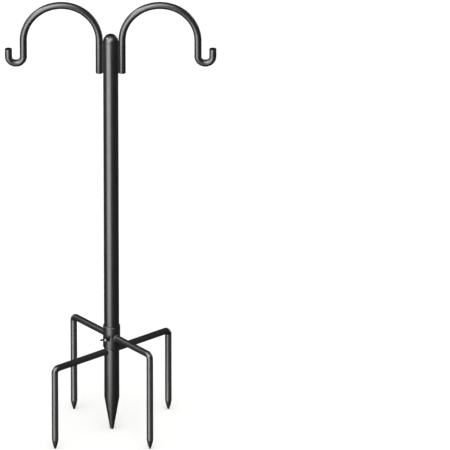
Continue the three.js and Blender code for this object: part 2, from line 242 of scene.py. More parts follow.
class PLANTSTAND_PG_detail(bpy.types.PropertyGroup):
    tube_sides: IntProperty(name="Tube sides", description="Faces round a tube", default=96, min=12)
    rod_sides: IntProperty(name="Rod sides", description="Faces round a bar", default=40, min=8)
    arch_steps: IntProperty(name="Arch steps", description="Steps along an arch", default=96, min=8)
    bend_steps: IntProperty(name="Bend steps", description="Steps along a small bend", default=32, min=4)
    hub_sides: IntProperty(name="Hub sides", description="Faces round the screw's hub", default=64, min=12)


class PLANTSTAND_PG_all(bpy.types.PropertyGroup):
    tube: PointerProperty(type=PLANTSTAND_PG_tube)
    spike: PointerProperty(type=PLANTSTAND_PG_spike)
    hook: PointerProperty(type=PLANTSTAND_PG_hook)
    prong: PointerProperty(type=PLANTSTAND_PG_prong)
    weld: PointerProperty(type=PLANTSTAND_PG_weld)
    collar: PointerProperty(type=PLANTSTAND_PG_collar)
    screw: PointerProperty(type=PLANTSTAND_PG_screw)
    finish: PointerProperty(type=PLANTSTAND_PG_finish)
    stage: PointerProperty(type=PLANTSTAND_PG_stage)
    detail: PointerProperty(type=PLANTSTAND_PG_detail)


# ---------- mesh helpers


EDGE_STEPS = 4
CREASE = math.radians(38)


def quadratic(start, pull, end, steps):
    """Points of a curve from start to end, drawn towards one pull point, without the start."""
    points = []
    for step in range(1, steps + 1):
        share = step / steps
        near, middle, far = (1 - share) ** 2, 2 * share * (1 - share), share**2
        points.append(tuple(near * s + middle * p + far * e for s, p, e in zip(start, pull, end)))
    return points


def softened(points, radius, closed=False, steps=EDGE_STEPS):
    """The profile with its corners rounded by that radius, or by less where an edge is short."""
    most = 0.45
    rounded = []
    for index, corner in enumerate(points):
        if not closed and index in (0, len(points) - 1):
            rounded.append(corner)
            continue
        here = Vector(corner)
        back = Vector(points[index - 1]) - here
        ahead = Vector(points[(index + 1) % len(points)]) - here
        turn = math.pi - back.angle(ahead)
        reach = min(radius * math.tan(turn / 2), most * back.length, most * ahead.length)
        start = here + back.normalized() * reach
        end = here + ahead.normalized() * reach
        rounded += [tuple(start), *quadratic(start, here, end, steps)]
    return rounded


def arc(across, up, radius, start, end, steps):
    """Points of an arc round (across, up), from one angle to another."""
    turns = [start + (end - start) * step / steps for step in range(steps + 1)]
    return [(across + radius * math.cos(t), up + radius * math.sin(t)) for t in turns]


def join_rings(bm, first, second):
    """Faces between two rings of vertices, where a ring of one vertex is a tip."""
    for at in range(max(len(first), len(second))):
        corners = (
            first[at % len(first)],
            first[(at + 1) % len(first)],
            second[(at + 1) % len(second)],
            second[at % len(second)],
        )
        bm.faces.new(tuple(dict.fromkeys(corners)))


def add_turned(bm, profile, sides, closed=False):
    """Adds a profile of (radius, height) points turned about Z."""
    rings = []
    for radius, height in profile:
        if radius < TINY:
            rings.append([bm.verts.new((0, 0, height))])
            continue
        turns = [2 * math.pi * side / sides for side in range(sides)]
        rings.append(
            [bm.verts.new((radius * math.cos(t), radius * math.sin(t), height)) for t in turns]
        )
    for lower, upper in zip(rings, rings[1:] + rings[:1] if closed else rings[1:]):
        join_rings(bm, lower, upper)


class BarLine:
    """Centre line of a bent bar in the XZ plane: straight runs and round bends in turn.

    The heading turns from +Z towards +X, and each station keeps its place and heading.
    """

    def __init__(self, x, z, heading):
        self.x = x
        self.z = z
        self.heading = heading
        self.stations = []
        self.mark()

    def mark(self):
        self.stations.append((self.x, self.z, self.heading))

    def run(self, distance):
        self.x += distance * math.sin(self.heading)
        self.z += distance * math.cos(self.heading)
        self.mark()

    def bend(self, radius, turn, steps):
        side = math.copysign(radius, turn)
        centre_x = self.x + side * math.cos(self.heading)
        centre_z = self.z - side * math.sin(self.heading)
        for _ in range(steps):
            self.heading += turn / steps
            self.x = centre_x - side * math.cos(self.heading)
            self.z = centre_z + side * math.sin(self.heading)
            self.mark()


def add_bar(bm, line, radius, sides, head=(), taper=()):
    """Adds a round bar along a line.

    Head and taper are lists of (distance past the line's end, radius) that shape its two ends.
    """
    x, z, heading = line.stations[0]
    sections = [
        (x - math.sin(heading) * distance, z - math.cos(heading) * distance, heading, narrow)
        for distance, narrow in reversed(head)
    ]
    sections += [(x, z, heading, radius) for x, z, heading in line.stations]
    x, z, heading = line.stations[-1]
    sections += [
        (x + math.sin(heading) * distance, z + math.cos(heading) * distance, heading, narrow)
        for distance, narrow in taper
    ]
    rings = []
    for x, z, heading, wide in sections:
        ring = []
        for side in range(sides):
            turn = 2 * math.pi * side / sides
            inward = wide * math.cos(turn)
            across = x + inward * math.cos(heading)
            up = z - inward * math.sin(heading)
            ring.append(bm.verts.new((across, wide * math.sin(turn), up)))
        rings.append(ring)
    first = [bm.verts.new((sections[0][0], 0, sections[0][1]))]
    last = [bm.verts.new((sections[-1][0], 0, sections[-1][1]))]
    for near, far in zip([first, *rings], [*rings, last]):
        join_rings(bm, near, far)
    return rings, first


def end_edge(radius, edge):
    """A taper that rounds the end of a bar, for a line that stops short by the edge."""
    turns = [math.pi / 2 * step / EDGE_STEPS for step in range(1, EDGE_STEPS + 1)]
    return [(edge * math.sin(turn), radius - edge * (1 - math.cos(turn))) for turn in turns]


def finish_piece(bm, node, finish, place=None, modify=None):
    """Makes the mesh a smooth piece that stands for a node of the frame, on that node's body."""
    bmesh.ops.recalc_face_normals(bm, faces=bm.faces)
    if place is not None:
        bm.transform(place)
    mesh = bpy.data.meshes.new(node + "_surface")
    bm.to_mesh(mesh)
    bm.free()
    piece = bpy.data.objects.new(node + "_surface", mesh)
    bpy.context.scene.collection.objects.link(piece)
    if modify is not None:
        modify(piece)
    for polygon in piece.data.polygons:
        polygon.use_smooth = True
    piece.data.set_sharp_from_angle(angle=CREASE)
    material, slot = finish_material(finish)
    piece.data.materials.append(material)
    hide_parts(node)
    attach(piece, BODY_OF[node])


def apply_modifiers(piece):
    """Puts the result of the piece's modifiers into its mesh."""
    bpy.context.view_layer.update()
    evaluated = piece.evaluated_get(bpy.context.evaluated_depsgraph_get())
    final = bpy.data.meshes.new_from_object(evaluated)
    final.name = piece.data.name
    piece.modifiers.clear()
    piece.data = final


# ---------- materials


# Sockets of a colour mix, by number, because its other data types use the same names.
MIX_SHARE, MIX_A, MIX_B, MIX_RESULT = 0, 6, 7, 2


def per_mm(millimetres):
    """Scale of a noise whose grains are that size, for coordinates in metres."""
    return 1 / (millimetres * MM)


def add_node(tree, kind, inputs=None, **settings):
    """Adds a node with its settings. An input that is a socket is linked, and any other is set."""
    node = tree.nodes.new("ShaderNode" + kind)
    for name, value in settings.items():
        setattr(node, name, value)
    for key, value in (inputs or {}).items():
        if isinstance(value, bpy.types.NodeSocket):
            tree.links.new(value, node.inputs[key])
        else:
            node.inputs[key].default_value = value
    return node


def new_material(name):
    """A node material that is still empty, and its node tree."""
    material = bpy.data.materials.new(name)
    material.use_nodes = True
    material.node_tree.nodes.clear()
    return material, material.node_tree


def powder_coat(name, peel_mm, height_mm, duller=0.0, index=1.52):
    """Semi-gloss black polyester powder coat, sprayed on dry and baked.

    The eye sees a soft broad highlight, slightly uneven from the orange peel, and a thin grey line
    where the coat draws back from a sharp edge. Real orange peel is about 2 mm wide. The powder's
    own grain is finer than 0.1 mm, and is drawn as coarse as 0.9 mm so that it shows.
    """
    finish = bpy.context.scene.plant_stand.finish
    cloud_mm, grain_mm, grain_height_mm = 22, 0.9, 0.012
    edge_from, edge_to = 0.53, 0.62
    brighter = 1.35
    uneven = 0.04
    material, tree = new_material(name)
    coordinates = add_node(tree, "TexCoord").outputs["Object"]
    cloud, grain, peel = (
        add_node(
            tree,
            "TexNoise",
            {"Vector": coordinates, "Scale": per_mm(size), "Detail": detail, "Roughness": rough},
        ).outputs["Fac"]
        for size, detail, rough in ((cloud_mm, 3.0, 0.55), (grain_mm, 2.0, 0.6), (peel_mm, 1.5, 0.4))
    )
    pointiness = add_node(tree, "NewGeometry").outputs["Pointiness"]
    edge = add_node(
        tree, "MapRange", {"Value": pointiness, "From Min": edge_from, "From Max": edge_to}
    ).outputs["Result"]
    thin = add_node(tree, "Math", {0: edge, 1: grain}, operation="MULTIPLY").outputs["Value"]
    lighter = [min(1.0, channel * brighter) for channel in finish.coat[:3]] + [1.0]
    body = add_node(
        tree, "Mix", {MIX_SHARE: cloud, MIX_A: finish.coat, MIX_B: lighter}, data_type="RGBA"
    ).outputs[MIX_RESULT]
    shown = add_node(
        tree, "Mix", {MIX_SHARE: thin, MIX_A: body, MIX_B: finish.coat_thin}, data_type="RGBA"
    ).outputs[MIX_RESULT]
    middle = finish.coat_roughness + duller
    roughness = add_node(
        tree, "MapRange", {"Value": cloud, "To Min": middle - uneven, "To Max": middle + uneven}
    ).outputs["Result"]
    rippled = add_node(tree, "Bump", {"Height": peel, "Distance": height_mm * MM}).outputs["Normal"]
    normal = add_node(
        tree, "Bump", {"Height": grain, "Distance": grain_height_mm * MM, "Normal": rippled}
    ).outputs["Normal"]
    shader = add_node(
        tree,
        "BsdfPrincipled",
        {"Base Color": shown, "Roughness": roughness, "Normal": normal, "IOR": index},
    )
    add_node(tree, "OutputMaterial", {"Surface": shader.outputs["BSDF"]})
    return material


def stud_painted_highlight(tree, coordinates):
    """A mask that is 1 on the staked end of the stud, in the middle of the wing screw's hub, where a
    lighter zinc paints the hub's highlight.
    """
    screw = bpy.context.scene.plant_stand.screw
    fade = 0.1 * MM
    from_axis = add_node(
        tree, "VectorMath", {0: coordinates, 1: (0, 0, -SCREW_HEIGHT)}, operation="ADD"
    ).outputs["Vector"]
    outward = add_node(
        tree, "VectorMath", {0: from_axis, 1: SCREW_AXIS}, operation="DOT_PRODUCT"
    ).outputs["Value"]
    across = add_node(
        tree, "VectorMath", {0: from_axis, 1: SCREW_AXIS}, operation="CROSS_PRODUCT"
    ).outputs["Vector"]
    radius = add_node(tree, "VectorMath", {0: across}, operation="LENGTH").outputs["Value"]
    near = add_node(
        tree,
        "MapRange",
        {"Value": radius, "From Min": screw.stud / 2 + fade, "From Max": screw.stud / 2 - fade},
    ).outputs["Result"]
    outside = add_node(
        tree, "Math", {0: outward, 1: COLLAR_RADIUS + screw.hub_length}, operation="GREATER_THAN"
    ).outputs["Value"]
    return add_node(tree, "Math", {0: near, 1: outside}, operation="MULTIPLY").outputs["Value"]


def zinc_plate(name, tone, roughness, lines_mm, stud=None):
    """Zinc plating over drawn or pressed steel, passivated clear or black.

    The eye sees a dull metallic sheen with fine lines along the drawing direction and a few
    cloudy patches from the plating bath. Real drawing lines are near 0.1 mm apart, and are drawn
    coarser so that they show. A stud is the tone of the screw's end, staked in the head: a lighter disc
    that is a painted highlight on the hub.
    """
    cloud_mm, line_height_mm, line_strength = 6, 0.02, 0.6
    drawn = (1.0, 1.0, 0.08)
    dimmer = 0.6
    uneven = 0.07
    material, tree = new_material(name)
    coordinates = add_node(tree, "TexCoord").outputs["Object"]
    along = add_node(tree, "Mapping", {"Vector": coordinates, "Scale": drawn}).outputs["Vector"]
    lines = add_node(
        tree, "TexNoise", {"Vector": along, "Scale": per_mm(lines_mm), "Detail": 3.0}
    ).outputs["Fac"]
    cloud = add_node(
        tree, "TexNoise", {"Vector": coordinates, "Scale": per_mm(cloud_mm), "Detail": 2.0}
    ).outputs["Fac"]
    darker = [channel * dimmer for channel in tone[:3]] + [1.0]
    shown = add_node(
        tree, "Mix", {MIX_SHARE: cloud, MIX_A: darker, MIX_B: tone}, data_type="RGBA"
    ).outputs[MIX_RESULT]
    # Painted highlight: the stud's end in a lighter zinc, a bright disc in the middle of the hub.
    if stud is not None:
        mask = stud_painted_highlight(tree, coordinates)
        shown = add_node(
            tree, "Mix", {MIX_SHARE: mask, MIX_A: shown, MIX_B: stud}, data_type="RGBA"
        ).outputs[MIX_RESULT]
    spread = add_node(
        tree,
        "MapRange",
        {"Value": lines, "To Min": roughness - uneven, "To Max": roughness + uneven},
    ).outputs["Result"]
    normal = add_node(
        tree,
        "Bump",
        {"Height": lines, "Distance": line_height_mm * MM, "Strength": line_strength},
    ).outputs["Normal"]
    shader = add_node(
        tree,
        "BsdfPrincipled",
        {"Base Color": shown, "Metallic": 1.0, "Roughness": spread, "Normal": normal},
    )
    add_node(tree, "OutputMaterial", {"Surface": shader.outputs["BSDF"]})
    return material


def finish_material(finish):
    """The material of a finish, made once, and the record's slot that it belongs to.

    The turned pieces of the base have matt_coat: the coat's slot, with a lower index and a little more
    roughness than the pole's, so that they look darker.
    """
    tones = bpy.context.scene.plant_stand.finish
    make, name, numbers = {
        "black_coat": (powder_coat, "black_powder_coat", {"peel_mm": 2.4, "height_mm": 0.045}),
        # A lower index and more roughness make the base's pieces darker than the pole.
        "matt_coat": (
            powder_coat,
            "black_powder_coat_matt",
            {"peel_mm": 1.6, "height_mm": 0.045, "duller": 0.03, "index": 1.45},
        ),
        "coated_weld": (
            powder_coat,
            "black_powder_coat_on_weld",
            {"peel_mm": 1.8, "height_mm": 0.06, "duller": 0.24},
        ),
        # The black zinc carries the stud's lighter disc, a painted highlight on the hub.
        "black_zinc": (
            zinc_plate,
            "black_zinc_plating",
            {"tone": tones.zinc_black, "roughness": 0.34, "lines_mm": 0.8, "stud": tones.stud},
        ),
        "bare_steel": (
            zinc_plate,
            "bright_zinc_plating",
            {"tone": tones.zinc, "roughness": 0.36, "lines_mm": 0.5},
        ),
    }[finish]
    slot = "black_coat" if finish == "matt_coat" else finish
    return bpy.data.materials.get(name) or make(name, **numbers), slot


# ---------- pole and hooks


def tube_profile(tube, bottom, top):
    """Closed profile of the pole's or the spike's tube, with rounded ends."""
    bore = TUBE_RADIUS - tube.wall
    corners = [(bore, bottom), (TUBE_RADIUS, bottom), (TUBE_RADIUS, top), (bore, top)]
    return softened(corners, tube.edge, closed=True)


def plug_radius(tube):
    """Radius of what fits in the tubes' bore: the dome's plug, the point's and the coupling."""
    return TUBE_RADIUS - tube.wall - tube.fit


class PLANTSTAND_OT_pole(bpy.types.Operator):
    """Builds the pole's tube and the dome that closes it"""

    bl_idname = "plant_stand.pole"
    bl_label = "Pole and dome"

    def execute(self, context):
        settings = context.scene.plant_stand
        tube, sides = settings.tube, settings.detail.tube_sides
        bm = bmesh.new()
        add_turned(bm, tube_profile(tube, POLE_BOTTOM, POLE_TOP), sides, closed=True)
        finish_piece(bm, "main_pole", "black_coat")

        seat = POLE_TOP + tube.seat
        plug = plug_radius(tube)
        dome_steps = 24
        dome = arc(0, seat, TUBE_RADIUS, 0, math.pi / 2, dome_steps)
        dome[-1] = (0, DOME_TOP)
        skirt = [(0, DOME_PLUG_BOTTOM), (plug, DOME_PLUG_BOTTOM), (plug, seat), (TUBE_RADIUS, seat)]
        bm = bmesh.new()
        add_turned(bm, softened([*skirt, dome[1]], tube.edge)[:-1] + dome[1:], sides)
        finish_piece(bm, "dome_cap", "black_coat")
        return {"FINISHED"}


def hook_place(side):
    """Leaves the right hook as it is drawn, and turns the left one half round the pole."""
    return Matrix.Rotation(0 if side == "right" else math.pi, 4, "Z")


class PLANTSTAND_OT_hooks(bpy.types.Operator):
    """Bends the two shepherd hooks, each from one round bar"""

    bl_idname = "plant_stand.hooks"
    bl_label = "Hooks"

    def execute(self, context):
        settings = context.scene.plant_stand
        hook, detail = settings.hook, settings.detail
        arch_radius = (HOOK_TIP_X - HOOK_LEG_X) / 2 - hook.j_radius
        spring = HOOK_TOP - HOOK_ROD_RADIUS - arch_radius
        ends = end_edge(HOOK_ROD_RADIUS, hook.edge)
        for side in ("right", "left"):
            line = BarLine(HOOK_LEG_X, HOOK_LEG_BOTTOM + hook.edge, 0)
            line.run(spring - HOOK_LEG_BOTTOM - hook.edge)
            line.bend(arch_radius, math.pi, detail.arch_steps)
            line.run(hook.stem)
            line.bend(hook.j_radius, -math.pi, detail.bend_steps)
            line.run(hook.tip - hook.edge)
            bm = bmesh.new()
            add_bar(bm, line, HOOK_ROD_RADIUS, detail.rod_sides, head=ends, taper=ends)
            finish_piece(bm, side + "_hook", "black_coat", hook_place(side))
        return {"FINISHED"}


def ripple(distance, across, pitch):
    """Height of a weld's ripples, from 0 to 1: crescents that trail at both sides of the bead."""
    trail = 0.35
    phase = distance / pitch + trail * (2 * across - 1) ** 2
    return abs(math.sin(math.pi * phase))


class PLANTSTAND_OT_hook_welds(bpy.types.Operator):
    """Lays the four rippled welds in the grooves between the hooks' legs and the pole"""

    bl_idname = "plant_stand.hook_welds"
    bl_label = "Hook welds"

    def execute(self, context):
        settings = context.scene.plant_stand
        weld = settings.weld
        rows, columns = 150, 12
        sunk, root_depth, run_out, low_end = 0.05 * MM, 1.0 * MM, 2.5 * MM, 0.55
        pole_side = TUBE_RADIUS - sunk
        rod_side = HOOK_ROD_RADIUS - sunk
        rod_end = math.pi - weld.hook_rod_angle
        pole_x = pole_side * math.cos(weld.hook_pole_angle)
        pole_y = pole_side * math.sin(weld.hook_pole_angle)
        rod_x = HOOK_LEG_X + rod_side * math.cos(rod_end)
        rod_y = rod_side * math.sin(rod_end)
        root_x = TUBE_RADIUS + settings.tube.seat / 2
        span = POLE_TOP - HOOK_LEG_BOTTOM
        # The left hook is turned half round the pole, so its front weld is drawn behind.
        for side in ("right", "left"):
            for depth, front in ((-1, side == "right"), (1, side == "left")):
                bm = bmesh.new()
                rings = []
                for row in range(rows + 1):
                    height = span * row / rows
                    end = max(0.0, min(run_out, height, span - height) / run_out)
                    full = low_end + (1 - low_end) * math.sqrt(1 - (1 - end) ** 2)
                    ring = []
                    for column in range(columns + 1):
                        across = column / columns
                        lift = weld.ripple_height * ripple(height, across, weld.ripple_pitch)
                        belly = math.sin(math.pi * across) * (lift - weld.hook_throat)
                        face_x = (1 - across) * pole_x + across * rod_x
                        face_y = ((1 - across) * pole_y + across * rod_y + belly) * full
                        ring.append((face_x, depth * face_y, HOOK_LEG_BOTTOM + height))
                    ring.append((root_x, depth * root_depth, HOOK_LEG_BOTTOM + height))
                    rings.append([bm.verts.new(place) for place in ring])
                for lower, upper in zip(rings, rings[1:]):
                    join_rings(bm, lower, upper)
                bm.faces.new(rings[0])
                bm.faces.new(rings[-1])
                name = f"{side}_hook_weld_{'front' if front else 'rear'}"
                finish_piece(bm, name, "coated_weld", hook_place(side))
        return {"FINISHED"}


# ---------- spike and coupling


class PLANTSTAND_OT_spike(bpy.types.Operator):
    """Builds the ground spike: its tube and the turned point in the tube's end"""

    bl_idname = "plant_stand.spike"
    bl_label = "Ground spike"

    def execute(self, context):
        settings = context.scene.plant_stand
        tube, spike, sides = settings.tube, settings.spike, settings.detail.tube_sides
        plug = plug_radius(tube)
        bm = bmesh.new()
        profile = tube_profile(tube, SPIKE_TUBE_BOTTOM, SPIKE_TUBE_TOP)
        add_turned(bm, profile, sides, closed=True)
        finish_piece(bm, "spike_tube", "matt_coat")

        shoulder = SPIKE_TUBE_BOTTOM - tube.seat
        flat = spike.nose_flat / 2
        nose_height = math.sqrt(spike.nose_radius**2 - flat**2)
        rise = shoulder - nose_height
        slope = math.atan2(TUBE_RADIUS, rise)
        slope -= math.asin(spike.nose_radius / math.hypot(TUBE_RADIUS, rise))
        start = -math.acos(flat / spike.nose_radius)
        nose_steps = 16
        nose = arc(0, nose_height, spike.nose_radius, start, -slope, nose_steps)
        nose[0] = (flat, 0)
        top = [(TUBE_RADIUS, shoulder), (plug, shoulder), (plug, SPIKE_PLUG_TOP), (0, SPIKE_PLUG_TOP)]
        bm = bmesh.new()
        add_turned(bm, [(0, 0), *nose] + softened([nose[-1], *top], tube.edge)[1:], sides)
        finish_piece(bm, "spike_point", "matt_coat")
        return {"FINISHED"}


class PLANTSTAND_OT_coupling(bpy.types.Operator):
    """Builds the plated coupling tube with its rolled bead"""

    bl_idname = "plant_stand.coupling"
    bl_label = "Coupling tube"

    def execute(self, context):
        settings = context.scene.plant_stand
        tube = settings.tube
        outer = plug_radius(tube)
        inner = outer - tube.wall
        bead_bottom = SPIKE_TUBE_TOP + tube.seat
        bead_top = POLE_BOTTOM - tube.seat
        corners = [
            (inner, COUPLING_BOTTOM),
            (outer, COUPLING_BOTTOM),
            (outer, bead_bottom),
            (TUBE_RADIUS, bead_bottom),
            (TUBE_RADIUS, bead_top),
            (outer, bead_top),
            (outer, COUPLING_TOP),
            (inner, COUPLING_TOP),
        ]
        bm = bmesh.new()
        profile = softened(corners, tube.bead, closed=True, steps=EDGE_STEPS + 1)
        add_turned(bm, profile, settings.detail.tube_sides, closed=True)
        finish_piece(bm, "coupling_tube", "bare_steel")
        return {"FINISHED"}


# ---------- prongs


def prong_arms(context):
    """Each prong with its name, the wall it grows from, its height, reach, turn and weld ceiling."""
    settings = context.scene.plant_stand
    rod = settings.prong.rod / 2
    for prefix, wall, ceiling in (
        ("lower", TUBE_RADIUS, COLLAR_BOTTOM - settings.tube.seat),
        ("upper", COLLAR_RADIUS, COLLAR_TOP),
    ):
        for side in ("rear", "front"):
            name = f"{prefix}_prong_{side}"
            tip = MOUNTS[name + "_tip"]
            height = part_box(name)[1].z - rod
            turn = Matrix.Rotation(math.atan2(tip.y, tip.x), 4, "Z")
            yield name, wall, height, math.hypot(tip.x, tip.y), turn, ceiling


class PLANTSTAND_OT_prongs(bpy.types.Operator):
    """Bends the four prongs and draws their ends to blunt points"""

    bl_idname = "plant_stand.prongs"
    bl_label = "Prongs"

    def execute(self, context):
        settings = context.scene.plant_stand
        prong, detail = settings.prong, settings.detail
        rod = prong.rod / 2
        point_steps = 16
        tip_edge = 0.6 * MM
        for name, wall, height, reach, turn, _ in prong_arms(context):
            root = wall + settings.tube.seat / 2
            line = BarLine(root, height, math.pi / 2)
            line.run(reach - prong.bend_radius - root)
            line.bend(prong.bend_radius, math.pi / 2, detail.bend_steps)
            line.run(height - prong.bend_radius - prong.point)
            point = []
            for step in range(point_steps + 1):
                share = step / point_steps
                belly = prong.point_belly * math.sin(math.pi * share)
                narrow = rod + (prong.point_flat / 2 - rod) * share + belly
                point.append((share * prong.point, min(rod, narrow)))
            tip = softened([*point[-2:], (prong.point, 0)], tip_edge)
            taper = point[:-1] + tip[1:-1]
            bm = bmesh.new()
            rings, first = add_bar(bm, line, rod, detail.rod_sides, taper=taper)
            for vertex in (*rings[0], *first):
                vertex.co.x = math.sqrt(root**2 - vertex.co.y**2)
            finish_piece(bm, name, "black_coat", turn)
        return {"FINISHED"}


class PLANTSTAND_OT_prong_welds(bpy.types.Operator):
    """Lays a rippled weld round the root of each prong"""

    bl_idname = "plant_stand.prong_welds"
    bl_label = "Prong welds"

    def execute(self, context):
        settings = context.scene.plant_stand
        weld = settings.weld
        rod = settings.prong.rod / 2
        sides, columns = 120, 10
        sunk, inner_sunk, inner_depth = 0.05 * MM, 0.1 * MM, 0.5 * MM
        ripple_share = 0.7
        ripples = round(2 * math.pi * (rod + weld.prong_width / 2) / weld.ripple_pitch)
        turns = [2 * math.pi * side / sides for side in range(sides)]
        for name, wall, height, _, place, ceiling in prong_arms(context):
            arm = (wall, height, ceiling)
            bm = bmesh.new()
            rings = []
            for column in range(columns + 1):
                across = column / columns
                belly = ripple_share * weld.ripple_height * math.sin(math.pi * across)
                ring = []
                for side, turn in enumerate(turns):
                    lift = belly * ripple(side / sides * ripples, across, 1)
                    radius = rod - sunk + across**2 * weld.prong_width + lift
                    away = (1 - across) ** 2 * weld.prong_reach + lift - sunk
                    ring.append(self.corner(bm, arm, turn, radius, away))
                rings.append(ring)
            inner = rod - inner_depth
            rings.append([self.corner(bm, arm, turn, inner, -inner_sunk) for turn in turns])
            for near, far in zip(rings, rings[1:] + rings[:1]):
                join_rings(bm, near, far)
            finish_piece(bm, name.replace("_prong_", "_prong_weld_"), "coated_weld", place)
        return {"FINISHED"}

    @staticmethod
    def corner(bm, arm, turn, radius, away):
        """A vertex at that turn and radius round the bar, standing off the wall by away."""
        wall, height, ceiling = arm
        sideways = radius * math.sin(turn)
        upward = min(height + radius * math.cos(turn), ceiling)
        return bm.verts.new((math.sqrt(wall**2 - sideways**2) + away, sideways, upward))


# ---------- collar and wing screw


def screw_place():
    """Turns +X to the screw's axis, at the screw's height on the pole's axis."""
    turn = Matrix.Rotation(math.atan2(SCREW_AXIS.y, SCREW_AXIS.x), 4, "Z")
    return Matrix.Translation((0, 0, SCREW_HEIGHT)) @ turn


def outwards():
    """Turns a profile's +Z to +X, the way out from the pole."""
    return Matrix.Rotation(math.pi / 2, 4, "Y")


def drilled(radius, sides):
    """A change to a piece that drills it along the screw's axis."""

    def change(piece):
        far = 2 * COLLAR_RADIUS
        bm = bmesh.new()
        add_turned(bm, [(0, 0), (radius, 0), (radius, far), (0, far)], sides)
        bmesh.ops.recalc_face_normals(bm, faces=bm.faces)
        bm.transform(screw_place() @ outwards())
        mesh = bpy.data.meshes.new("screw_drill")
        bm.to_mesh(mesh)
        bm.free()
        drill = bpy.data.objects.new("screw_drill", mesh)
        bpy.context.scene.collection.objects.link(drill)
        cut = piece.modifiers.new("drill", "BOOLEAN")
        cut.operation = "DIFFERENCE"
        cut.solver = "EXACT"
        cut.object = drill
        apply_modifiers(piece)
        bpy.data.objects.remove(drill)

    return change


class PLANTSTAND_OT_collar(bpy.types.Operator):
    """Builds the turning collar and its threaded boss"""

    bl_idname = "plant_stand.collar"
    bl_label = "Collar"

    def execute(self, context):
        settings = context.scene.plant_stand
        collar, tube, screw = settings.collar, settings.tube, settings.screw
        detail = settings.detail
        bore = TUBE_RADIUS + collar.clearance
        edge = COLLAR_RADIUS - collar.chamfer
        hole = screw.diameter / 2 + screw.clearance
        corners = [
            (bore, COLLAR_BOTTOM),
            (edge, COLLAR_BOTTOM),
            (COLLAR_RADIUS, COLLAR_BOTTOM + collar.chamfer),
            (COLLAR_RADIUS, COLLAR_TOP - collar.chamfer),
            (edge, COLLAR_TOP),
            (bore, COLLAR_TOP),
        ]
        bm = bmesh.new()
        profile = softened(corners, tube.edge, closed=True)
        add_turned(bm, profile, detail.tube_sides, closed=True)
        change = drilled(hole, detail.hub_sides)
        finish_piece(bm, "collar_sleeve", "matt_coat", modify=change)

        boss_radius = collar.boss / 2
        boss_top = COLLAR_RADIUS + collar.boss_height
        wall = COLLAR_RADIUS + tube.seat / 2
        root = (hole, wall)
        corners = [root, (hole, boss_top), (boss_radius, boss_top), (boss_radius, wall)]
        bm = bmesh.new()
        add_turned(bm, softened(corners, tube.edge), detail.tube_sides, closed=True)
        for vertex in bm.verts:
            if abs(vertex.co.z - wall) < TINY:
                vertex.co.z = math.sqrt(wall**2 - vertex.co.y**2)
        finish_piece(bm, "collar_boss", "matt_coat", screw_place() @ outwards())
        return {"FINISHED"}


